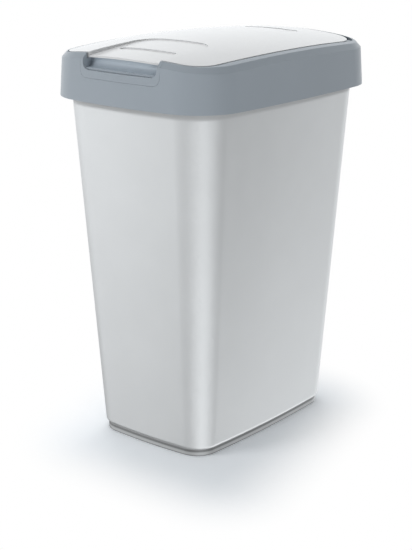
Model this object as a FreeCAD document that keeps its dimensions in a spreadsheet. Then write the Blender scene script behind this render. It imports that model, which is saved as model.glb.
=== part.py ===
import FreeCAD, Part
import Sketcher
import math
import os

# Flap-lid waste bin: a tapered bucket, a lid collar that lifts off it, and a crowned flap on two pins.
# Millimetres. X is the width, the front faces -Y, Z is up, and the origin is the middle of the foot.

os.makedirs("parts", exist_ok=True)
doc = FreeCAD.newDocument("waste_bin")

# Driving dimensions, kept in the sheet under these names.
SIZES = {
    # collar outline at its lower edge, and how its walls rise
    "collar_width": 253.6,
    "collar_depth": 340.6,
    "collar_corner": 58.5,
    "collar_front_bow": 13.9,
    "collar_side_bow": 7.7,
    "collar_bottom": 410.0,
    "collar_lean": 5.0,
    "collar_wall": 2.2,
    "shoulder_width": 5.6,
    "crease_round": 1.6,
    "rim_sink": 0.4,
    # crown of the lid, one barrel surface that collar and flap share
    "crown_top": 472.7,
    "crown_across_radius": 703.0,
    "crown_along_radius": 1880.0,
    # flap plate, its place in the collar and its hollow tongue
    "flap_side_inset": 19.0,
    "flap_front_inset": 11.4,
    "flap_rear_inset": 17.2,
    "flap_front_corner": 31.0,
    "flap_rear_corner": 45.0,
    "flap_gap": 1.6,
    "flap_plate": 2.2,
    "flap_undercut": 1.5,
    "flap_seat_gap": 0.5,
    "flap_skirt_wall": 1.8,
    "flap_skirt_gap": 1.6,
    "flap_skirt_bottom": 449.5,
    "tongue_width": 106.0,
    "tongue_length": 97.0,
    "tongue_corner": 24.0,
    "tongue_front_drop": 4.0,
    "tongue_rear_drop": 1.1,
    "tongue_side_wall": 2.0,
    "dimple_length": 80.0,
    "dimple_width": 10.0,
    "dimple_depth": 1.2,
    "dimple_setback": 41.0,
    "mark_length": 78.0,
    "mark_width": 12.0,
    "mark_depth": 0.8,
    "mark_setback": 268.0,
    # throat of the collar and its skirt inside the bucket
    "throat_side_inset": 24.0,
    "throat_front_inset": 22.0,
    "throat_rear_inset": 32.0,
    "throat_front_corner": 26.0,
    "throat_rear_corner": 45.0,
    "throat_skirt_bottom": 428.0,
    "rib_wall": 2.0,
    "rib_spacing": 90.0,
    # hinge at the rear
    "hinge_inset": 25.3,
    "hinge_level": 458.5,
    "hinge_spread": 96.0,
    "pin_diameter": 3.2,
    "pin_chamfer": 0.4,
    "pin_seat_gap": 0.02,
    "pin_running_gap": 0.06,
    "knuckle_diameter": 7.6,
    "ear_diameter": 7.0,
    "knuckle_length": 12.0,
    "ear_wall": 4.0,
    "ear_gap": 0.4,
    "bay_width": 180.0,
    "bay_gap": 5.0,
    "bay_corner": 34.0,
    # grip insert in the front of the collar
    "grip_width": 116.0,
    "grip_bottom": 437.0,
    "grip_corner": 9.0,
    "grip_fit": 0.2,
    "grip_mouth_width": 108.0,
    "grip_mouth_corner": 8.0,
    "grip_lip_level": 448.0,
    "grip_lip_round": 2.4,
    "grip_lip_set": 0.15,
    "scoop_radius": 7.5,
    "scoop_wall": 2.1,
    # bucket
    "rim_top": 445.5,
    "rim_height": 3.0,
    "rim_gap": 0.6,
    "lid_seat_gap": 0.3,
    "bucket_top_width": 233.2,
    "bucket_top_depth": 319.8,
    "bucket_top_corner": 48.0,
    "bucket_base_width": 171.6,
    "bucket_base_depth": 258.5,
    "bucket_base_corner": 29.8,
    "bucket_top_front_bow": 10.0,
    "bucket_top_side_bow": 10.8,
    "bucket_base_bow": 5.3,
    "bucket_wall": 2.2,
    "bucket_floor": 2.6,
    "bucket_edge_round": 6.0,
    "bucket_inner_round": 4.0,
    "foot_height": 7.4,
    "foot_inset": 2.6,
    "foot_wall": 3.0,
    # how far every cutting solid runs past what it cuts
    "overrun": 10.0,
}

sheet = doc.addObject("Spreadsheet::Sheet", "Sizes")
for row, (name, value) in enumerate(SIZES.items(), start=1):
    sheet.set(f"A{row}", name)
    sheet.set(f"B{row}", str(value))
    sheet.setAlias(f"B{row}", name)
doc.recompute()


class Size:
    """A length that knows its number and the sheet expression it comes from."""

    def __init__(self, value, text):
        self.value = value
        self.text = text

    def __add__(self, other):
        return Size(self.value + other.value, f"({self.text} + {other.text})")

    def __sub__(self, other):
        return Size(self.value - other.value, f"({self.text} - {other.text})")

    def __mul__(self, factor):
        return Size(self.value * factor, f"({self.text} * {factor})")

    def __truediv__(self, factor):
        return Size(self.value / factor, f"({self.text} / {factor})")

    def __neg__(self):
        return Size(-self.value, f"(-{self.text})")

    def ratio(self, other):
        """This length as a share of another, which is a plain number that follows the sheet."""
        return Size(self.value / other.value, f"({self.text} / {other.text})")

    def times(self, other):
        """Product with a share or with another length."""
        return Size(self.value * other.value, f"({self.text} * {other.text})")


def size(name):
    return Size(SIZES[name], f"Sizes.{name}")


ZERO = Size(0.0, "0")


def bow_radius(length, bow):
    """Radius of the arc that rises by the bow over a chord of the given length."""
    return length.times(length).ratio(bow * 8)


def bind(thing, prop, length):
    thing.setExpression(prop, length.text)


def stand(thing, x=ZERO, y=ZERO, z=ZERO):
    """Place an object by named lengths."""
    for axis, length in (("x", x), ("y", y), ("z", z)):
        bind(thing, f"Placement.Base.{axis}", length)


# Sketch planes: flat, seen from the front, and seen from the right.
FLAT = FreeCAD.Rotation()
FRONT = FreeCAD.Rotation(FreeCAD.Vector(1, 0, 0), 90)
SIDE = FreeCAD.Rotation(FreeCAD.Vector(1, 1, 1), 120)
# Ends of a line or arc, its centre, and the sketch's own origin and axes.
START, END, CENTRE = range(1, 4)
ORIGIN = ACROSS = -START
UPWARD = -END


def new_sketch(name, owner, turn, shift):
    """Sketch in a body, on its flat plane at a level, or by itself on a turned plane."""
    if owner is doc:
        sketch = doc.addObject("Sketcher::SketchObject", name)
        sketch.Placement = FreeCAD.Placement(FreeCAD.Vector(), turn)
        stand(sketch, *shift)
        return sketch
    sketch = owner.newObject("Sketcher::SketchObject", name)
    plane = next(f for f in owner.Origin.OriginFeatures if f.Role == "XY_Plane")
    sketch.AttachmentSupport = [(plane, "")]
    sketch.MapMode = "FlatFace"
    for axis, length in zip("xyz", shift):
        bind(sketch, f"AttachmentOffset.Base.{axis}", length)
    return sketch


def pin_point(sketch, geometry, point, axis, length):
    """Hold one coordinate of a sketch point at a signed length from the sketch's origin."""
    kind = "DistanceX" if axis == "x" else "DistanceY"
    if length.value >= 0:
        ends = (ORIGIN, START, geometry, point)
        reach = length
    else:
        ends = (geometry, point, ORIGIN, START)
        reach = -length
    index = sketch.addConstraint(Sketcher.Constraint(kind, *ends, reach.value))
    bind(sketch, f"Constraints[{index}]", reach)


def set_radius(sketch, geometry, radius):
    index = sketch.addConstraint(Sketcher.Constraint("Radius", geometry, radius.value))
    bind(sketch, f"Constraints[{index}]", radius)


def arc(centre, radius, first, last):
    """Counter-clockwise arc about a centre, from the direction of one point to that of another."""
    circle = Part.Circle(FreeCAD.Vector(*centre, 0), FreeCAD.Vector(0, 0, 1), radius)
    turns = [math.atan2(p[1] - centre[1], p[0] - centre[0]) for p in (first, last)]
    if turns[1] < turns[0]:
        turns[1] += 2 * math.pi
    return Part.ArcOfCircle(circle, *turns)


def corner_centre(front, front_reach, side, side_reach):
    """Point on the right of the line of centres, at the two reaches from the two centres."""
    dx, dy = side[0] - front[0], side[1] - front[1]
    span = math.hypot(dx, dy)
    along = (span ** 2 + front_reach ** 2 - side_reach ** 2) / (2 * span)
    off = math.sqrt(front_reach ** 2 - along ** 2)
    found = [(front[0] + (dx * along - s * dy * off) / span, front[1] + (dy * along + s * dx * off) / span)
             for s in (1, -1)]
    return max(found, key=lambda point: point[0])


def bowed_outline(name, owner, shape, shift):
    """Rounded rectangle with bowed sides: four side arcs and four corner arcs, each tangent to the next.

    The shape gives width, depth, front and rear corner radius, and the radii of the front and side arcs.
    """
    width, depth, front_corner, rear_corner, front_radius, side_radius = shape
    sketch = new_sketch(name, owner, FLAT, shift)
    fr, sr = front_radius.value, side_radius.value
    front = (0.0, fr - depth.value / 2)
    side = (width.value / 2 - sr, 0.0)
    points = {}
    for label, turn, radius in (("front", 1, front_corner.value), ("rear", -1, rear_corner.value)):
        base = (0.0, turn * front[1])
        mirrored = corner_centre((0.0, front[1]), fr - radius, side, sr - radius)
        centre = (abs(mirrored[0]), turn * -abs(mirrored[1]))
        on_front = tuple(b + (c - b) * fr / (fr - radius) for b, c in zip(base, centre))
        on_side = tuple(b + (c - b) * sr / (sr - radius) for b, c in zip(side, centre))
        points[label] = (centre, on_front, on_side, radius)

    def flip(point):
        return (-point[0], point[1])

    (fc, ff, fs, f_r), (rc, rf, rs, r_r) = points["front"], points["rear"]
    sketch.addGeometry([
        arc(front, fr, flip(ff), ff),
        arc(fc, f_r, ff, fs),
        arc(side, sr, fs, rs),
        arc(rc, r_r, rs, rf),
        arc((0.0, -front[1]), fr, rf, flip(rf)),
        arc(flip(rc), r_r, flip(rf), flip(rs)),
        arc(flip(side), sr, flip(rs), flip(fs)),
        arc(flip(fc), f_r, flip(fs), flip(ff)),
    ], False)
    for index in range(8):
        sketch.addConstraint(Sketcher.Constraint("Tangent", index, END, (index + 1) % 8, START))
    for index, axis in ((0, UPWARD), (4, UPWARD), (2, ACROSS), (6, ACROSS)):
        sketch.addConstraint(Sketcher.Constraint("PointOnObject", index, CENTRE, axis))
    for pair in ((0, 4), (2, 6), (1, 7), (3, 5)):
        sketch.addConstraint(Sketcher.Constraint("Equal", *pair))
    for index, radius in ((0, front_radius), (2, side_radius), (1, front_corner), (3, rear_corner)):
        set_radius(sketch, index, radius)
    pin_point(sketch, 0, CENTRE, "y", front_radius - depth / 2)
    pin_point(sketch, 4, CENTRE, "y", depth / 2 - front_radius)
    pin_point(sketch, 2, CENTRE, "x", width / 2 - side_radius)
    pin_point(sketch, 6, CENTRE, "x", side_radius - width / 2)
    return sketch


def rectangle(name, turn, left, right, low, high, rounds, shift=(ZERO, ZERO, ZERO)):
    """Rectangle between four named lengths; rounds gives a radius or None for each corner.

    The corners go round from low left: low left, low right, high right, high left.
    """
    sketch = new_sketch(name, doc, turn, shift)
    corners = [(left, low), (right, low), (right, high), (left, high)]
    steps = [(1, 0), (0, 1), (-1, 0), (0, -1)]

    def vector(x, y):
        return FreeCAD.Vector(x, y, 0)

    trims = [0.0 if r is None else r.value for r in rounds]
    lines = []
    for k in range(4):
        (x0, y0), (x1, y1) = corners[k], corners[(k + 1) % 4]
        dx, dy = steps[k]
        first = vector(x0.value + dx * trims[k], y0.value + dy * trims[k])
        last_trim = trims[(k + 1) % 4]
        last = vector(x1.value - dx * last_trim, y1.value - dy * last_trim)
        lines.append(sketch.addGeometry(Part.LineSegment(first, last), False))
        way = "Horizontal" if dx else "Vertical"
        sketch.addConstraint(Sketcher.Constraint(way, lines[k]))
    for k in range(4):
        before, after = lines[k - 1], lines[k]
        if rounds[k] is None:
            sketch.addConstraint(Sketcher.Constraint("Coincident", before, END, after, START))
            continue
        dx, dy = steps[k]
        bx, by = steps[k - 1]
        x, y = corners[k][0].value, corners[k][1].value
        centre = (x + trims[k] * (dx - bx), y + trims[k] * (dy - by))
        first = (x - bx * trims[k], y - by * trims[k])
        last = (x + dx * trims[k], y + dy * trims[k])
        round_arc = sketch.addGeometry(arc(centre, trims[k], first, last), False)
        sketch.addConstraint(Sketcher.Constraint("Tangent", before, END, round_arc, START))
        sketch.addConstraint(Sketcher.Constraint("Tangent", round_arc, END, after, START))
        set_radius(sketch, round_arc, rounds[k])
    pin_point(sketch, lines[0], START, "y", low)
    pin_point(sketch, lines[1], START, "x", right)
    pin_point(sketch, lines[2], START, "y", high)
    pin_point(sketch, lines[3], START, "x", left)
    return sketch


def extrude(name, sketch, way, length):
    solid = doc.addObject("Part::Extrusion", name)
    solid.Base = sketch
    solid.DirMode = "Custom"
    solid.Dir = FreeCAD.Vector(*way)
    bind(solid, "LengthFwd", length)
    solid.Solid = True
    return solid


def loft(name, sections):
    solid = doc.addObject("Part::Loft", name)
    solid.Sections = sections
    solid.Solid = True
    solid.Ruled = True
    return solid


def cut(name, base, tool):
    solid = doc.addObject("Part::Cut", name)
    solid.Base = base
    solid.Tool = tool
    return solid


def common(name, base, tool):
    solid = doc.addObject("Part::Common", name)
    solid.Base = base
    solid.Tool = tool
    return solid


def fuse(name, solids):
    solid = doc.addObject("Part::MultiFuse", name)
    solid.Shapes = solids
    return solid


def block(name, x, y, z):
    """Box between two named lengths along each axis."""
    solid = doc.addObject("Part::Box", name)
    stand(solid, x[0], y[0], z[0])
    for prop, ends in (("Length", x), ("Width", y), ("Height", z)):
        bind(solid, prop, ends[1] - ends[0])
    return solid


def rod(name, diameter, x, y, z):
    """Cylinder along X between two named lengths."""
    solid = doc.addObject("Part::Cylinder", name)
    solid.Placement = FreeCAD.Placement(FreeCAD.Vector(), FreeCAD.Rotation(FreeCAD.Vector(0, 1, 0), 90))
    stand(solid, x[0], y, z)
    bind(solid, "Radius", diameter / 2)
    bind(solid, "Height", x[1] - x[0])
    return solid


# Levels and places that several pieces share.
overrun = size("overrun")
wall = size("collar_wall")
half_depth = size("collar_depth") / 2
block_top = size("crown_top") + overrun
seat_level = size("rim_top") + size("lid_seat_gap")
collar_rise = block_top - size("collar_bottom")
collar_front_radius = bow_radius(size("collar_width"), size("collar_front_bow"))
collar_side_radius = bow_radius(size("collar_depth"), size("collar_side_bow"))
hinge_y = half_depth - size("hinge_inset")
hinge_z = size("hinge_level")
flap_sink = size("flap_plate") + size("flap_seat_gap")
lid_low = size("throat_skirt_bottom")
flap_front = size("flap_front_inset") - half_depth
tongue_rear = flap_front + size("tongue_length")
throat_front = size("throat_front_inset") - half_depth
bay_front = half_depth - size("throat_rear_inset") - overrun
grip_back = throat_front - wall - size("grip_fit") * 2
ahead = -half_depth - overrun

# Degrees that the turned solids span, well past what they shape.
CROWN_TURN = 20
BOW_TURN = 14
# Shares: roundness of a dimple's ends, and how close to a level an edge has to lie.
PILL_END_SHARE = 0.45
NEAR_SHARE = 0.02


def collar_outline(name, owner, inset, level):
    """The collar's outline drawn in by an inset."""
    corner = size("collar_corner") - inset
    shape = (size("collar_width") - inset * 2, size("collar_depth") - inset * 2, corner, corner,
             collar_front_radius - inset, collar_side_radius - inset)
    return bowed_outline(name, owner, shape, (ZERO, ZERO, level))


def lean_at(level):
    """How far a collar wall has leaned in at a level."""
    return size("collar_lean").times((level - size("collar_bottom")).ratio(collar_rise))


def inset_outline(name, kind, grow, level, behind=ZERO, rear_corner=None):
    """Outline of the flap or the throat, grown outwards by a length and once more behind."""
    side = size(f"{kind}_side_inset") - grow
    front = size(f"{kind}_front_inset") - grow
    rear = size(f"{kind}_rear_inset") - grow - behind
    rear_corner = rear_corner or size(f"{kind}_rear_corner") + grow
    shape = (size("collar_width") - side * 2, size("collar_depth") - front - rear,
             size(f"{kind}_front_corner") + grow, rear_corner,
             collar_front_radius - front, collar_side_radius - side)
    return bowed_outline(name, doc, shape, (ZERO, (front - rear) / 2, level))


def sky(name, sink, shift=ZERO, rise=ZERO):
    """Everything above the crown sunk by a length: a barrel profile turned about a line far below."""
    across = size("crown_across_radius")
    reach = size("collar_width")
    low_centre = size("crown_top") - across
    radius = across - sink
    top = block_top + overrun
    sketch = new_sketch(f"{name}_profile", doc, FRONT, (ZERO, ZERO, ZERO))
    edge = low_centre.value + math.sqrt(radius.value ** 2 - reach.value ** 2)
    ends = [(reach.value, edge), (-reach.value, edge)]
    upper = [(-reach.value, top.value), (reach.value, top.value)]
    corners = [FreeCAD.Vector(*p, 0) for p in (ends[1], *upper, ends[0])]
    sketch.addGeometry(arc((0.0, low_centre.value), radius.value, *ends), False)
    for first, last in zip(corners, corners[1:]):
        sketch.addGeometry(Part.LineSegment(first, last), False)
    for joint in ((0, END, 1, START), (1, END, 2, START), (2, END, 3, START), (3, END, 0, START)):
        sketch.addConstraint(Sketcher.Constraint("Coincident", *joint))
    for way, line in (("Vertical", 1), ("Horizontal", 2), ("Vertical", 3)):
        sketch.addConstraint(Sketcher.Constraint(way, line))
    sketch.addConstraint(Sketcher.Constraint("PointOnObject", 0, CENTRE, UPWARD))
    set_radius(sketch, 0, radius)
    pin_point(sketch, 0, CENTRE, "y", low_centre)
    pin_point(sketch, 1, START, "x", -reach)
    pin_point(sketch, 3, START, "x", reach)
    pin_point(sketch, 2, START, "y", top)
    solid = doc.addObject("Part::Revolution", name)
    solid.Source = sketch
    solid.Axis = FreeCAD.Vector(1, 0, 0)
    bind(solid, "Base.z", size("crown_top") - size("crown_along_radius"))
    solid.Angle = CROWN_TURN
    solid.Symmetric = True
    solid.Solid = True
    stand(solid, ZERO, shift, rise)
    return solid


def edge_names(feature, wanted):
    """Names of a feature's edges that a test picks out."""
    return [f"Edge{k}" for k, edge in enumerate(feature.Shape.Edges, start=1) if wanted(edge)]


def finish_edges(body, kind, name, base, edges, length):
    """Round or bevel the named edges of a feature."""
    feature = body.newObject(f"PartDesign::{kind}", name)
    feature.Base = (base, edges)
    bind(feature, "Radius" if kind == "Fillet" else "Size", length)
    doc.recompute()
    return feature


def body_loft(body, kind, name, sections):
    feature = body.newObject(f"PartDesign::{kind}", name)
    feature.Profile = sections[0]
    feature.Sections = sections[1:]
    feature.Ruled = True
    doc.recompute()
    return feature


def body_on(name, raw):
    """Body that goes on from a finished solid."""
    body = doc.addObject("PartDesign::Body", name)
    body.BaseFeature = raw
    doc.recompute()
    return body


def bucket():
    """Tapered bucket with a foot ring, a rounded bottom edge and an outward rim."""
    body = doc.addObject("PartDesign::Body", "bucket")
    foot, rim_top = size("foot_height"), size("rim_top")
    rise = rim_top - foot

    def outline(name, grow, level, share):
        """Outline at a share of the way up, as wall offset by a length."""
        def between(low, high):
            return size(low) + (size(high) - size(low)).times(share)
        width = between("bucket_base_width", "bucket_top_width")
        depth = between("bucket_base_depth", "bucket_top_depth")
        corner = between("bucket_base_corner", "bucket_top_corner") + grow
        front_bow = between("bucket_base_bow", "bucket_top_front_bow")
        side_bow = between("bucket_base_bow", "bucket_top_side_bow")
        shape = (width + grow * 2, depth + grow * 2, corner, corner,
                 bow_radius(width, front_bow) + grow, bow_radius(depth, side_bow) + grow)
        return bowed_outline(name, body, shape, (ZERO, ZERO, level))

    base_share = Size(0.0, "0")
    top_share = Size(1.0, "1")
    inside = -size("bucket_wall")
    floor = foot + size("bucket_floor")
    floor_share = size("bucket_floor").ratio(rise)

    def pad(kind, name, sketch, length, turned=False):
        feature = body.newObject(f"PartDesign::{kind}", name)
        feature.Profile = sketch
        bind(feature, "Length", length)
        feature.Reversed = turned
        doc.recompute()
        return feature

    def at_level(level):
        """Test for edges that lie flat at a level."""
        near = size("foot_height").value * NEAR_SHARE
        return lambda edge: max(abs(v.Z - level.value) for v in edge.Vertexes) < near

    under = rim_top - size("rim_height")
    inset_in_collar = wall + lean_at(rim_top) + size("rim_gap")
    pad("Pad", "rim", collar_outline("rim_outside", body, inset_in_collar, under), size("rim_height"))
    body_loft(body, "AdditiveLoft", "bucket_outside",
              [outline("bucket_base", ZERO, foot, base_share),
               outline("bucket_top", ZERO, rim_top, top_share)])
    low = edge_names(body.Tip, at_level(foot))
    finish_edges(body, "Fillet", "bucket_edge", body.Tip, low, size("bucket_edge_round"))
    inset = -size("foot_inset")
    pad("Pad", "foot", outline("foot_outside", inset, ZERO, base_share), foot + size("bucket_floor") / 2)
    foot_inside = outline("foot_inside", inset - size("foot_wall"), ZERO, base_share)
    pad("Pocket", "foot_hollow", foot_inside, foot, True)
    body_loft(body, "SubtractiveLoft", "bucket_inside",
              [outline("inside_base", inside, floor, floor_share),
               outline("inside_top", inside, rim_top, top_share)])
    sunk = edge_names(body.Tip, at_level(floor))
    finish_edges(body, "Fillet", "bucket_inside_edge", body.Tip, sunk, size("bucket_inner_round"))
    return body


def crown_height(vertex):
    """Level of the crown above or below a vertex."""
    across, along = size("crown_across_radius").value, size("crown_along_radius").value
    return size("crown_top").value - vertex.X ** 2 / (2 * across) - vertex.Y ** 2 / (2 * along)


def tongue_crown():
    """Slide back and lift of the crown that makes the tongue's floor sink evenly towards the front."""
    along = size("crown_along_radius")
    slope = (size("tongue_front_drop") - size("tongue_rear_drop")).ratio(size("tongue_length"))
    shift = along.times(slope)
    rise = shift.times(shift - tongue_rear * 2).ratio(along * 2) - size("tongue_rear_drop")
    return shift, rise


def tongue_plan(name, grow):
    """The tongue seen from above, open to the front, with rounded rear corners."""
    half = size("tongue_width") / 2 + grow
    corner = size("tongue_corner") + grow
    sketch = rectangle(f"{name}_plan", FLAT, -half, half, flap_front - overrun, tongue_rear + grow,
                       [None, None, corner, corner], (ZERO, ZERO, lid_low))
    return tall(name, sketch, lid_low)


def pill(name, length, width, middle):
    """Long dimple with nearly half-round ends, seen from above."""
    half, round_end = length / 2, width * PILL_END_SHARE
    sketch = rectangle(f"{name}_plan", FLAT, -half, half, middle - width / 2, middle + width / 2,
                       [round_end] * 4, (ZERO, ZERO, lid_low))
    return tall(name, sketch, lid_low)


def tall(name, sketch, level):
    """Upright solid on a flat sketch at a level, up past the crown."""
    return extrude(name, sketch, (0, 0, 1), block_top - level)


def lid_block():
    """Solid collar: leaning bowed walls under the crown, with a bevelled shoulder round the top."""
    low = collar_outline("collar_low", doc, ZERO, size("collar_bottom"))
    high = collar_outline("collar_high", doc, size("collar_lean"), block_top)
    raw = cut("collar_crowned", loft("collar_walls", [low, high]), sky("crown_sky", size("rim_sink")))
    body = body_on("collar_block", raw)
    middle = (size("collar_bottom").value + size("crown_top").value) / 2

    def raised(edge):
        return min(v.Z for v in edge.Vertexes) > middle

    rim = edge_names(body.Tip, raised)
    finish_edges(body, "Chamfer", "shoulder", body.Tip, rim, size("shoulder_width"))
    outer = [f for f in body.Tip.Shape.Faces
             if f.BoundBox.ZMin < size("collar_bottom").value + wall.value and f.BoundBox.ZMax > middle]
    crease = [e for f in outer for e in f.Edges if raised(e)]
    names = edge_names(body.Tip, lambda edge: any(edge.isSame(e) for e in crease))
    finish_edges(body, "Fillet", "crease", body.Tip, names, size("crease_round"))
    return body


def grip_plan(name, grow):
    """Front view of the grip insert, as a solid from ahead of the front wall back to the throat's skirt."""
    half = size("grip_width") / 2 + grow
    corner = size("grip_corner") + grow
    view = rectangle(f"{name}_view", FRONT, -half, half, size("grip_bottom") - grow, block_top,
                     [corner, corner, None, None], (ZERO, ahead, ZERO))
    skirt = inset_outline(f"{name}_back_plan", "throat", wall + size("grip_fit") * 2 - grow, lid_low)
    through = extrude(f"{name}_through", view, (0, 1, 0), throat_front + overrun - ahead)
    return cut(name, through, tall(f"{name}_back", skirt, lid_low))


def turned(name, sketch):
    """Sketch turned a little both ways about the upright line through the centre of the front bow."""
    solid = doc.addObject("Part::Revolution", name)
    solid.Source = sketch
    solid.Axis = FreeCAD.Vector(0, 0, 1)
    bind(solid, "Base.y", collar_front_radius - half_depth)
    solid.Angle = BOW_TURN
    solid.Symmetric = True
    solid.Solid = True
    return solid


def scoop():
    """Finger scoop: a round-backed trough behind a rolled lip, both along the bow of the front wall."""
    back = grip_back - size("scoop_wall")
    lip, roll = size("grip_lip_level"), size("grip_lip_round")
    low = lip - roll
    middle = lean_at(low) - half_depth + size("grip_lip_set") + roll
    half = size("grip_mouth_width") / 2
    corner = size("grip_mouth_corner")
    trough = turned("scoop_trough", rectangle("scoop_profile", SIDE, ahead, back, lip, block_top,
                                              [None, size("scoop_radius"), None, None]))
    front = turned("lip_front", rectangle("lip_profile", SIDE, ahead, middle, low, block_top, [None] * 4))
    bead = doc.addObject("Part::Torus", "lip_bead")
    bind(bead, "Radius1", collar_front_radius - half_depth - middle)
    bind(bead, "Radius2", roll)
    stand(bead, ZERO, collar_front_radius - half_depth, low)
    view = rectangle("scoop_view", FRONT, -half, half, low, block_top, [corner, corner, None, None],
                     (ZERO, ahead, ZERO))
    return common("scoop", fuse("scoop_cuts", [trough, cut("lip_cut", front, bead)]),
                  extrude("scoop_mouth", view, (0, 1, 0), throat_front - ahead))


def hinge_places():
    """Middle of each hinge along X, left then right."""
    return (("left", -size("hinge_spread") / 2), ("right", size("hinge_spread") / 2))


def ears():
    """Two round-topped ears at each hinge, cut away behind for the flap's rear edge, to hold the pins."""
    made = []
    radius = size("ear_diameter") / 2
    for side, middle in hinge_places():
        inner = size("knuckle_length") / 2 + size("ear_gap")
        for label, start in (("near", middle - inner - size("ear_wall")), ("far", middle + inner)):
            across = (start, start + size("ear_wall"))
            ahead_of_pin = (hinge_y - radius, hinge_y)
            made.append(block(f"{side}_{label}_ear", across, ahead_of_pin, (seat_level, hinge_z)))
            made.append(rod(f"{side}_{label}_ear_top", radius * 2, across, hinge_y, hinge_z))
    return made


def pin_bore(name, gap):
    """Bore for both pins, a straight rod through every ear and knuckle and no further than the bay."""
    half = (size("hinge_spread") + size("knuckle_length")) / 2 + size("ear_wall") + size("ear_gap") * 2
    return rod(name, size("pin_diameter") + gap * 2, (-half, half), hinge_y, hinge_z)


def mouth_plan(name, grow, level):
    """Upright solid on the outline of the flap's mouth, which leaves the swing of the flap free behind."""
    gap = size("flap_gap")
    behind = size("bay_gap") - gap
    outline = inset_outline(f"{name}_plan", "flap", gap + grow, level, behind, size("bay_corner") + grow)
    return tall(name, outline, level)


def bay(name, grow, mouth, floor):
    """Hinge bay: the rear of the mouth, sunk to a floor."""
    half = size("bay_width") / 2 + grow
    reach = block(f"{name}_reach", (-half, half), (bay_front - grow, half_depth), (floor, block_top))
    return common(name, reach, mouth)


def collar_channel(inner_walls):
    """Hollow under the collar: all inside its walls but the throat's skirt, the ribs and the hinge bay."""
    ceiling = sky("ceiling_sky", flap_sink + wall)
    skirt_low = size("throat_skirt_bottom")
    around = inset_outline("throat_outside_plan", "throat", wall, skirt_low)
    skirt = tall("throat_outside", around, skirt_low)
    cover = bay("bay_cover", wall, mouth_plan("bay_walls", wall, lid_low), seat_level)
    kept = [skirt, ceiling, cover]
    half_rib = size("rib_wall") / 2
    half_width = size("collar_width") / 2
    for k in (-1, 0, 1):
        middle = size("rib_spacing") * k
        kept.append(block(f"rib_{k + 2}", (-half_width, half_width), (middle - half_rib, middle + half_rib),
                          (seat_level, block_top)))
    return cut("collar_channel", inner_walls, fuse("channel_keeps", kept))


def collar(body, prism, mouth, tongue_space):
    """Lid collar: shell, flap seat, throat skirt, hinge bay with ears, and the place of the grip insert."""
    bottom = size("collar_bottom")
    inside_low = collar_outline("inside_low", doc, wall, bottom)
    inside_high = collar_outline("inside_high", doc, wall + size("collar_lean"), block_top)
    inner = loft("collar_inside", [inside_low, inside_high])
    low = size("throat_skirt_bottom") - overrun
    throat = tall("throat", inset_outline("throat_plan", "throat", ZERO, low), low)
    notch = grip_plan("grip_notch", size("grip_fit"))
    sunk = bay("hinge_bay", ZERO, prism, seat_level + wall)
    cuts = fuse("collar_cuts", [collar_channel(inner), throat, mouth, tongue_space, sunk, notch])
    shell = cut("collar_shell", body, cuts)
    with_ears = fuse("collar_with_ears", [shell] + ears())
    return cut("collar", with_ears, pin_bore("ear_bore", size("pin_seat_gap")))


def grip_insert(lid, mouth, tongue_space):
    """Grip insert: a flush front plate with the finger scoop behind it."""
    under_low = collar_outline("grip_under_low", doc, wall, size("collar_bottom"))
    under_high = collar_outline("grip_under_high", doc, wall + lean_at(seat_level), seat_level)
    under = loft("grip_under", [under_low, under_high])
    plate = common("grip_plate", lid, grip_plan("grip_outline", ZERO))
    return cut("grip_insert", plate, fuse("grip_cuts", [scoop(), mouth, tongue_space, under]))


def flap(flap_prism, tongue_low):
    """Crowned flap: plate, sunk tongue, stiffening skirt and two hinge knuckles."""
    plate = body_on("flap_plate", common("flap_sheet", cut("flap_crowned", flap_prism, sky("flap_sky", ZERO)),
                                         sky("plate_sky", size("flap_plate"))))
    half_plate = size("flap_plate").value / 2

    def underneath(edge):
        return min(crown_height(v) - v.Z for v in edge.Vertexes) > half_plate

    low_rim = edge_names(plate.Tip, underneath)
    finish_edges(plate, "Chamfer", "flap_undercut", plate.Tip, low_rim, size("flap_undercut"))
    inside = sky("inside_sky", size("flap_plate") / 2)
    rim = common("tongue_block", tongue_plan("tongue_rim", size("tongue_side_wall")), flap_prism)
    pan = cut("tongue_pan", common("tongue_below", rim, tongue_low), inside)
    low = size("flap_skirt_bottom")
    gap, skin = size("flap_skirt_gap"), size("flap_skirt_wall")
    outer = inset_outline("skirt_outside_plan", "throat", -gap, low)
    inner = inset_outline("skirt_inside_plan", "throat", -gap - skin, low)
    ring = cut("skirt_ring", tall("skirt_outside", outer, low), tall("skirt_inside", inner, low))
    radius = size("knuckle_diameter") / 2
    half = size("knuckle_length") / 2
    stems = []
    for side, middle in hinge_places():
        across = (middle - half, middle + half)
        stems.append(rod(f"{side}_knuckle", radius * 2, across, hinge_y, hinge_z))
        depth = (hinge_y - radius, hinge_y + radius)
        stems.append(block(f"{side}_web", across, depth, (hinge_z, block_top)))
    under = cut("flap_underside", fuse("flap_ribs", [ring] + stems), inside)
    whole = fuse("flap_whole", [plate, pan, under])
    shift, rise = tongue_crown()
    recess = common("tongue_recess", tongue_plan("tongue", ZERO), sky("tongue_sky", ZERO, shift, rise))
    dimple = common("tongue_dimple", pill("dimple", size("dimple_length"), size("dimple_width"),
                                          flap_front + size("dimple_setback")),
                    sky("dimple_sky", size("dimple_depth"), shift, rise))
    place = common("flap_dimple", pill("mark", size("mark_length"), size("mark_width"),
                                       flap_front + size("mark_setback")),
                   sky("mark_sky", size("mark_depth")))
    bore = pin_bore("knuckle_bore", size("pin_running_gap"))
    return cut("flap", whole, fuse("flap_cuts", [recess, dimple, place, bore]))


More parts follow.
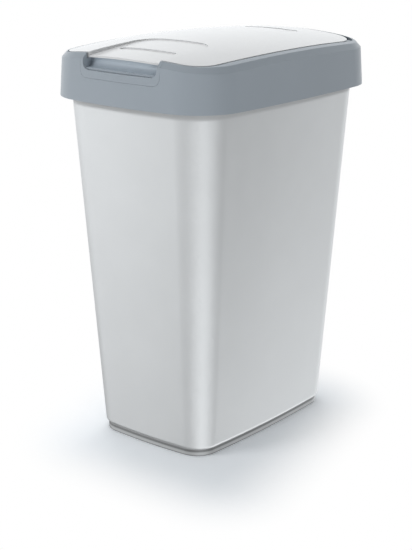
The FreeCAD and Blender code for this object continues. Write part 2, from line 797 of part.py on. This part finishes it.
def hinge_pin(side, middle):
    """Straight pin with bevelled ends, seated in two ears and running in a knuckle."""
    body = doc.addObject("PartDesign::Body", f"hinge_pin_{side}")
    sketch = new_sketch(f"{side}_pin_section", body, FLAT, (ZERO, ZERO, ZERO))
    radius = size("pin_diameter") / 2
    sketch.addGeometry(Part.Circle(FreeCAD.Vector(), FreeCAD.Vector(0, 0, 1), radius.value), False)
    sketch.addConstraint(Sketcher.Constraint("Coincident", 0, CENTRE, ORIGIN, START))
    set_radius(sketch, 0, radius)
    half = size("knuckle_length") / 2 + size("ear_gap") + size("ear_wall")
    shaft = body.newObject("PartDesign::Pad", f"{side}_pin_shaft")
    shaft.Profile = sketch
    bind(shaft, "Length", half * 2)
    doc.recompute()
    rims = edge_names(shaft, lambda edge: len(edge.Vertexes) == 1)
    finish_edges(body, "Chamfer", f"{side}_pin_ends", shaft, rims, size("pin_chamfer"))
    body.Placement = FreeCAD.Placement(FreeCAD.Vector(), FreeCAD.Rotation(FreeCAD.Vector(0, 1, 0), 90))
    stand(body, middle - half, hinge_y, hinge_z)
    return body


# Solids that shape more than one piece of the lid.
solid_collar = lid_block()
flap_prism = tall("flap_prism", inset_outline("flap_plan", "flap", ZERO, lid_low), lid_low)
mouth_prism = mouth_plan("mouth_prism", ZERO, lid_low)
flap_mouth = common("flap_mouth", mouth_prism, sky("seat_sky", flap_sink))
slide, lift = tongue_crown()
tongue_room = tongue_plan("tongue_room", size("tongue_side_wall") + size("flap_gap"))
tongue_reach = common("tongue_reach", tongue_room, mouth_prism)
tongue_gap = common("tongue_gap", tongue_reach, sky("tongue_gap_sky", flap_sink, slide, lift))
tongue_under = sky("tongue_under_sky", size("flap_plate"), slide, lift)

pieces = [
    bucket(),
    collar(solid_collar, mouth_prism, flap_mouth, tongue_gap),
    grip_insert(solid_collar, flap_mouth, tongue_gap),
    flap(flap_prism, tongue_under),
    *[hinge_pin(side, middle) for side, middle in hinge_places()],
]
doc.recompute()

# Every object has to have built, and every piece has to be one sound solid, before any is written.
for obj in doc.Objects:
    if "Invalid" in obj.State or "Error" in obj.State:
        raise RuntimeError(f"{obj.Label} did not build: {obj.State}")
for piece in pieces:
    if piece.Shape.isNull() or not piece.Shape.isValid() or len(piece.Shape.Solids) != 1:
        raise RuntimeError(f"{piece.Label} is not one sound solid")
for piece in pieces:
    piece.Shape.exportStep(f"parts/{piece.Label}.step")
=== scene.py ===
import math

import bpy
import numpy as np
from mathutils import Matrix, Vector


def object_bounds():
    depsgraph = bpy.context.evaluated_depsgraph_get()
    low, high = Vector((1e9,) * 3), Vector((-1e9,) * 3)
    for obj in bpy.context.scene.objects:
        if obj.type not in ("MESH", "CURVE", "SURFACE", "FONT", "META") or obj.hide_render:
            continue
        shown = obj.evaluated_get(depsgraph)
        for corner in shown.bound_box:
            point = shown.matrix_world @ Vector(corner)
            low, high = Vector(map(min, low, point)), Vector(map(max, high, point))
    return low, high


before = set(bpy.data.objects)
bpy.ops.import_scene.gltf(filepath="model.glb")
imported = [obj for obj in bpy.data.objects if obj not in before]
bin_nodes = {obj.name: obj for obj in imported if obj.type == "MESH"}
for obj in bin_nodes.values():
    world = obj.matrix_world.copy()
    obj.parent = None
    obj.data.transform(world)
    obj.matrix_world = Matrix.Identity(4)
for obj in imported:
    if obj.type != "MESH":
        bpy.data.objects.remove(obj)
cad_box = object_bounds()

# Bucket: one injection moulding of pale polypropylene with fine aluminium flake, so it looks silvery.
# It tapers so that it leaves its mould, its skin is a smooth satin, and it stands on a narrow foot ring.


class Sock:
    """A node's socket whose arithmetic, and comparison with >, adds Math nodes to its own tree."""

    def __init__(self, tree, out):
        self.tree = tree
        self.out = out

    def _math(self, operation, *values):
        node = self.tree.nodes.new("ShaderNodeMath")
        node.operation = operation
        for place, value in enumerate(values):
            if isinstance(value, Sock):
                self.tree.links.new(value.out, node.inputs[place])
            else:
                node.inputs[place].default_value = value
        return Sock(self.tree, node.outputs[0])

    def __add__(self, other):
        return self._math("ADD", self, other)

    __radd__ = __add__

    def __sub__(self, other):
        return self._math("SUBTRACT", self, other)

    def __rsub__(self, other):
        return self._math("SUBTRACT", other, self)

    def __mul__(self, other):
        return self._math("MULTIPLY", self, other)

    __rmul__ = __mul__

    def __rtruediv__(self, other):
        return self._math("DIVIDE", other, self)

    def __gt__(self, other):
        return self._math("GREATER_THAN", self, other)

    def apply(self, operation, *others):
        """One step of maths that has no sign in Python, such as SQRT, with this value first."""
        return self._math(operation, self, *others)

    def ramp(self, low, high):
        """0 at low and 1 at high, smooth between and level beyond."""
        span = self.node("ShaderNodeMapRange", {"interpolation_type": "SMOOTHSTEP"},
                         {"Value": self, "From Min": low, "From Max": high})
        return span["Result"]

    def node(self, kind, settings=None, inputs=None):
        """Any other node: its settings first, then values or links for its sockets; gives its outputs by name."""
        made = self.tree.nodes.new(kind)
        for name, value in (settings or {}).items():
            setattr(made, name, value)
        for name, value in (inputs or {}).items():
            socket = made.inputs[name]
            if isinstance(value, Sock):
                self.tree.links.new(value.out, socket)
            else:
                socket.default_value = value
        return {out.name: Sock(self.tree, out) for out in made.outputs if out.enabled}

    def blend(self, factor, first, second):
        """Colour that goes from the first to the second as the factor goes from 0 to 1."""
        return self.node("ShaderNodeMix", {"data_type": "RGBA"}, {"Factor": factor, "A": first, "B": second})["Result"]


def shade(colour, share):
    """A colour times a share, opaque."""
    return tuple(c * share for c in colour) + (1.0,)


def moulded_plastic(name, colour, roughness, flake, tones=(), matt=None):
    """Moulded plastic: even colour with faint flow clouds, satin roughness that drifts, and spark-eroded grain.

    flake is the share of metal flake in the plastic, which carries its gloss.
    tones holds pairs of a mask and the share of the colour that is left, or gained, where the mask is 1.
    matt is a mask of the parts that get no flake. A mask is a function of the place's X, Y and Z.
    """
    cloud_scale, drift_scale, spark_scale = 14.0, 55.0, 2600.0
    cloud_share, drift_share, spark_depth, spark_strength = 0.012, 0.04, 0.00005, 0.1
    material = bpy.data.materials.new(name)
    material.use_nodes = True
    tree = material.node_tree
    shader = tree.nodes["Principled BSDF"]
    start = Sock(tree, None)
    place = start.node("ShaderNodeTexCoord")["Object"]
    axes = start.node("ShaderNodeSeparateXYZ", None, {"Vector": place})
    clouds = start.node("ShaderNodeTexNoise", None,
                        {"Vector": place, "Scale": cloud_scale, "Detail": 3.0, "Roughness": 0.55})["Fac"]
    drift = start.node("ShaderNodeTexNoise", None,
                       {"Vector": place, "Scale": drift_scale, "Detail": 2.0, "Roughness": 0.5})["Fac"]
    sparks = start.node("ShaderNodeTexNoise", None,
                        {"Vector": place, "Scale": spark_scale, "Detail": 2.0, "Roughness": 0.6})["Fac"]
    base = start.blend(clouds.ramp(0.3, 0.7), shade(colour, 1 - cloud_share), shade(colour, 1 + cloud_share))
    for mask, share in tones:
        base = start.blend(mask(axes), base, shade(colour, share))
    tree.links.new(base.out, shader.inputs["Base Color"])
    shader.inputs["Metallic"].default_value = flake
    if matt:
        bright = (1 - matt(axes)) * flake
        tree.links.new(bright.out, shader.inputs["Metallic"])
    rough = roughness + (drift - 0.5) * drift_share
    tree.links.new(rough.out, shader.inputs["Roughness"])
    bump = start.node("ShaderNodeBump", None,
                      {"Strength": spark_strength, "Distance": spark_depth, "Height": sparks})["Normal"]
    tree.links.new(bump.out, shader.inputs["Normal"])
    return material


def geometry_group(name):
    """Geometry node group with one geometry socket in and one out; gives the group, a start and the geometry."""
    group = bpy.data.node_groups.new(name, "GeometryNodeTree")
    group.interface.new_socket("Geometry", in_out="INPUT", socket_type="NodeSocketGeometry")
    group.interface.new_socket("Geometry", in_out="OUTPUT", socket_type="NodeSocketGeometry")
    start = Sock(group, None)
    return group, start, start.node("NodeGroupInput")["Geometry"]


def smooth_facets():
    """Geometry nodes that join the loose triangles of a solid and shade every edge flatter than the limit smooth."""
    same_point, sharpest_smooth = 1e-6, math.radians(24)
    group, start, entry = geometry_group("smooth_facets")
    joined = start.node("GeometryNodeMergeByDistance", None, {"Geometry": entry, "Distance": same_point})["Geometry"]
    faces = start.node("GeometryNodeSetShadeSmooth", {"domain": "FACE"},
                       {"Geometry": joined, "Shade Smooth": True})["Geometry"]
    sharp = start.node("GeometryNodeInputMeshEdgeAngle")["Unsigned Angle"] > sharpest_smooth
    edges = start.node("GeometryNodeSetShadeSmooth", {"domain": "EDGE"},
                       {"Geometry": faces, "Selection": sharp, "Shade Smooth": False})["Geometry"]
    start.node("NodeGroupOutput", None, {"Geometry": edges})
    return group


facet_group = smooth_facets()


def dress(node, material):
    """Smooth shading and a new finish for a piece whose solid already has its shape."""
    piece = bin_nodes[node]
    piece.data.materials.clear()
    piece.data.materials.append(material)
    joined = piece.modifiers.new("smooth_facets", "NODES")
    joined.node_group = facet_group
    even = piece.modifiers.new("even_normals", "WEIGHTED_NORMAL")
    even.keep_sharp = True
    return piece


foot_height = 0.0074
band_low, band_high, band_fade_in, band_fade_out = 0.400, 0.412, 0.004, 0.006


def painted_foot_shade(axes):
    """Painted shade on the foot ring: a little all over, more in the groove above it and along the floor, where
    contact shadow falls.
    """
    level = axes["Z"] * (1 / foot_height)
    ring = 1 - level.ramp(0.9, 1.2)
    groove = level.ramp(0.5, 0.75) * (1 - level.ramp(1.0, 1.25))
    edge = 1 - level.ramp(0.0, 0.25)
    return ring * 0.4 + groove * 0.5 + edge * 0.5


def painted_collar_shadow(axes):
    """Narrow band just under the collar's lower edge where the collar's shadow is painted on, as darker colour and no
    flake.
    """
    above_low = axes["Z"].ramp(band_low, band_low + band_fade_in)
    above_high = axes["Z"].ramp(band_high, band_high + band_fade_out)
    return above_low * (1 - above_high)


pale_silver, silver_roughness, silver_flake = (0.67, 0.68, 0.685), 0.33, 0.6
foot_shade_share, collar_shadow_share = 0.2, 0.87
# The foot ring's colour carries painted contact shade, and the band under the collar a painted shadow of the collar.
bucket_skin = moulded_plastic("pale_silver_polypropylene", pale_silver, silver_roughness, silver_flake,
                              [(painted_foot_shade, foot_shade_share), (painted_collar_shadow, collar_shadow_share)], painted_collar_shadow)
dress("bucket", bucket_skin)

# Collar: blue-grey polypropylene moulding that is pushed over the bucket's rim.
# Its bevelled shoulder follows the crown of the flap, and the skin is satin like the bucket's.
blue_grey, collar_roughness, collar_flake = (0.35, 0.395, 0.44), 0.34, 0.05
collar_skin = moulded_plastic("blue_grey_polypropylene", blue_grey, collar_roughness, collar_flake)
dress("collar", collar_skin)

# Grip insert: a separate moulding in the collar's own plastic, clipped into the front of the collar.
# Its rolled lip and round-backed scoop let four fingers in under the flap's tongue.
lip_depth, lip_level, front_radius, mouth_half_width = 0.16475, 0.448, 0.587, 0.054
scoop_light_share = 1.4


def painted_scoop_light(axes):
    """Inside of the scoop, painted paler to stand for the light it catches: behind the lip, above its level and short
    of the ends of the mouth.

    The lip follows the bow of the front, which falls back by half of X squared over its radius.
    """
    behind_lip = (axes["Y"] + lip_depth - axes["X"] * axes["X"] * (0.5 / front_radius)).ramp(-0.001, 0.002)
    above_lip = axes["Z"].ramp(lip_level - 0.0025, lip_level - 0.001)
    near_end = axes["X"].apply("ABSOLUTE").ramp(mouth_half_width - 0.007, mouth_half_width - 0.002)
    return behind_lip * above_lip * (1 - near_end)


# The inside of the scoop is painted lighter than the collar's plastic: painted light.
insert_skin = moulded_plastic("scoop_lit_polypropylene", blue_grey, collar_roughness, collar_flake,
                              [(painted_scoop_light, scoop_light_share)])
dress("grip_insert", insert_skin)

# Hinge pins: two plain pins pressed into the collar's ears.
# They are moulded in the collar's plastic and are hidden under the flap.
for pin in ("hinge_pin_left", "hinge_pin_right"):
    dress(pin, collar_skin)

# Flap: white polypropylene plate crowned like a barrel, with a sunk tongue at the front.
# It is moulded with its knuckles and skirt, and its top is polished a little finer than the walls.
crown_across, crown_along, crown_match = 0.703, 1.880, math.radians(4)


def crown_normals():
    """Geometry nodes that give the faces along the crown the normals of the true barrel surface.

    The barrel is an arc of radius crown_across, turned about a line that lies crown_along below its top.
    A face belongs to it where its own normal is within crown_match of the barrel's.
    """
    group, start, entry = geometry_group("crown_normals")
    spot = start.node("ShaderNodeSeparateXYZ", None, {"Vector": start.node("GeometryNodeInputPosition")["Position"]})
    rise = spot["Z"] - (cad_box[1][2] - crown_along)
    radius = (spot["Y"] * spot["Y"] + rise * rise).apply("SQRT")
    share = 1 - (crown_along - crown_across) / radius
    barrel = start.node("ShaderNodeCombineXYZ", None, {"X": spot["X"], "Y": spot["Y"] * share, "Z": rise * share})
    barrel = start.node("ShaderNodeVectorMath", {"operation": "NORMALIZE"}, {0: barrel["Vector"]})["Vector"]
    normal = start.node("GeometryNodeInputNormal")
    match = start.node("ShaderNodeVectorMath", {"operation": "DOT_PRODUCT"}, {0: normal["True Normal"], 1: barrel})
    chosen = start.node("GeometryNodeSwitch", {"input_type": "VECTOR"},
                        {"Switch": match["Value"] > math.cos(crown_match),
                         "False": normal["Normal"], "True": barrel})["Output"]
    shaded = start.node("GeometryNodeSetMeshNormal", {"mode": "FREE", "domain": "CORNER"},
                        {"Mesh": entry, "Custom Normal": chosen})["Mesh"]
    start.node("NodeGroupOutput", None, {"Geometry": shaded})
    return group


flap_white, flap_roughness, flap_flake = (0.78, 0.785, 0.79), 0.2, 0.0
flap = dress("flap", moulded_plastic("white_polypropylene", flap_white, flap_roughness, flap_flake))
crown_shading = flap.modifiers.new("crown_normals", "NODES")
crown_shading.node_group = crown_normals()

# Floor: a sheet of white paper under the bin, which keeps the soft shadow round the foot.
# The shadow runs out into plain white, and sooner behind the bin than in front of it.
floor_reach, floor_steps, floor_drop = 7.0, 9, 0.0002
paper_lighting, paper_seen, plain_white = (0.85, 0.85, 0.85, 1.0), (1.18, 1.22, 1.26, 1.0), (1.0, 1.0, 1.0, 1.0)
foot_half_width, foot_half_depth = 0.083, 0.127
shadow_reach, shadow_lean, shadow_shift = 0.13, 0.25, 0.02


def paper_sheet():
    """Flat square grid round the origin, just below the foot."""
    side = np.linspace(-floor_reach, floor_reach, floor_steps)
    x, y = np.meshgrid(side, side)
    points = np.stack([x.ravel(), y.ravel(), np.full(x.size, -floor_drop)], axis=1)
    row = np.arange(floor_steps - 1)
    corner = (row[:, None] * floor_steps + row[None, :]).ravel()
    quads = np.stack([corner, corner + 1, corner + floor_steps + 1, corner + floor_steps], axis=1)
    mesh = bpy.data.meshes.new("studio_floor")
    mesh.from_pydata(points.tolist(), [], quads.tolist())
    return bpy.data.objects.new("studio_floor", mesh)


def seen_directly(start):
    """1 for rays from the camera and for those that gloss or glass sends on, else 0."""
    path = start.node("ShaderNodeLightPath")
    return path["Is Camera Ray"] + path["Is Glossy Ray"] + path["Is Transmission Ray"]


def floor_paper():
    """White paper that turns to plain white with the distance from the foot, where it is seen directly.

    The distance is to a box as wide and deep as the foot, sheared and moved to where the shadow falls.
    """
    material = bpy.data.materials.new("floor_paper")
    material.use_nodes = True
    tree = material.node_tree
    start = Sock(tree, None)
    seen = seen_directly(start)
    spot = start.node("ShaderNodeSeparateXYZ", None, {"Vector": start.node("ShaderNodeTexCoord")["Object"]})
    beside = ((spot["X"] + spot["Y"] * shadow_lean).apply("ABSOLUTE") - foot_half_width).apply("MAXIMUM", 0.0)
    before = ((spot["Y"] + shadow_shift).apply("ABSOLUTE") - foot_half_depth).apply("MAXIMUM", 0.0)
    away = (beside * beside + before * before).apply("SQRT")
    matt = start.node("ShaderNodeBsdfDiffuse", None, {"Color": start.blend(seen, paper_lighting, paper_seen)})["BSDF"]
    white = start.node("ShaderNodeEmission", None, {"Color": plain_white, "Strength": 1.0})["Emission"]
    paper = start.node("ShaderNodeMixShader", None, {"Fac": seen * away.ramp(0.0, shadow_reach), 1: matt, 2: white})
    tree.links.new(paper["Shader"].out, tree.nodes["Material Output"].inputs["Surface"])
    return material


floor = paper_sheet()
floor.data.materials.append(floor_paper())
floor.visible_glossy = False
bpy.context.scene.collection.objects.link(floor)

# Surround and lamps: plain white to the eye, with a soft box overhead and two fills at the front.
# In its gloss the bin meets three tall soft panels with dimmer gaps, which draw the bright stripe down its corner.
# The panels on the left are brighter at the top and those on the right at the foot.
first_panel, panels, panel_contrast = math.radians(60), 3, 0.25
panel_mean, panel_front, panel_tilt, tilt_level = 0.86, 0.13, 2.6, -0.36
rear_glow, rear_glow_low = 0.12, 0.42
sky_low, sky_fall = 1.2, 0.7
room_light, rear_light, rear_way = 0.30, 0.4, (-0.6, 0.6, 0.5)
room_tint = (0.98, 1.0, 1.015, 1.0)

world = bpy.data.worlds.new("white_surround")
bpy.context.scene.world = world
world.use_nodes = True
tree = world.node_tree
start = Sock(tree, None)
way = start.node("ShaderNodeTexCoord")["Generated"]
axes = start.node("ShaderNodeSeparateXYZ", None, {"Vector": way})
turn = axes["X"].apply("ARCTAN2", -1 * axes["Y"])
stripes = ((turn - first_panel) * panels).apply("COSINE")
left_high = -1 * axes["X"] * (axes["Z"] - tilt_level)
rear = (-1 * turn.apply("COSINE")).ramp(0.68, 0.86)
low = axes["Z"].ramp(-0.25, -0.55)
panel_light = (panel_mean + stripes * panel_contrast - axes["Y"] * panel_front + left_high * panel_tilt
               + rear * (rear_glow + low * rear_glow_low))
sky_light = sky_low - axes["Z"].ramp(0.2, 0.7) * sky_fall
gloss = panel_light + (sky_light - panel_light) * axes["Z"].ramp(-0.25, 0.05)
behind = start.node("ShaderNodeVectorMath", {"operation": "DOT_PRODUCT"}, {0: way, 1: rear_way})["Value"]
lit = room_light + behind.ramp(0.3, 1.0) * rear_light
path = start.node("ShaderNodeLightPath")
plain = path["Is Camera Ray"] + path["Is Transmission Ray"]
strength = plain + path["Is Glossy Ray"] * gloss + (1 - seen_directly(start)) * lit
surround = tree.nodes["Background"]
tree.links.new(start.blend(plain, room_tint, plain_white).out, surround.inputs["Color"])
tree.links.new(strength.out, surround.inputs["Strength"])
middle_of_bin = Vector((0.0, 0.0, 0.25))


def soft_lamp(name, spot, size, power, in_gloss):
    """Square area lamp at a spot, turned to the middle of the bin."""
    light = bpy.data.lights.new(name, "AREA")
    light.size = size
    light.energy = power
    lamp = bpy.data.objects.new(name, light)
    lamp.location = spot
    lamp.rotation_euler = (middle_of_bin - lamp.location).to_track_quat("-Z", "Y").to_euler()
    lamp.visible_glossy = in_gloss
    bpy.context.scene.collection.objects.link(lamp)


soft_lamp("top_box", (-0.35, 0.3, 2.0), 0.8, 8.5, True)
soft_lamp("front_fill", (-0.55, -1.15, 0.9), 0.6, 5.0, False)
soft_lamp("corner_fill", (0.85, -0.65, 0.25), 0.3, 1.7, False)

# Camera: stands to the front right of the bin, a little above it, with a long lens.
# Its place comes from the edges of the bin in the photo.
camera_turn, camera_lift, camera_reach = math.radians(39.32), math.radians(17.01), 1.68181
aim = Vector((-0.00815, -0.00667, 0.17964))
camera_data = bpy.data.cameras.new("camera")
camera_data.sensor_fit = "AUTO"
camera_data.sensor_width = 36.0
camera_data.lens = 89.91
camera = bpy.data.objects.new("camera", camera_data)
back = Vector((math.sin(camera_turn) * math.cos(camera_lift),
               -math.cos(camera_turn) * math.cos(camera_lift),
               math.sin(camera_lift)))
camera.location = aim + back * camera_reach
camera.rotation_euler = (-back).to_track_quat("-Z", "Y").to_euler()
bpy.context.scene.collection.objects.link(camera)
bpy.context.scene.camera = camera
bpy.context.scene.view_settings.view_transform = "Standard"
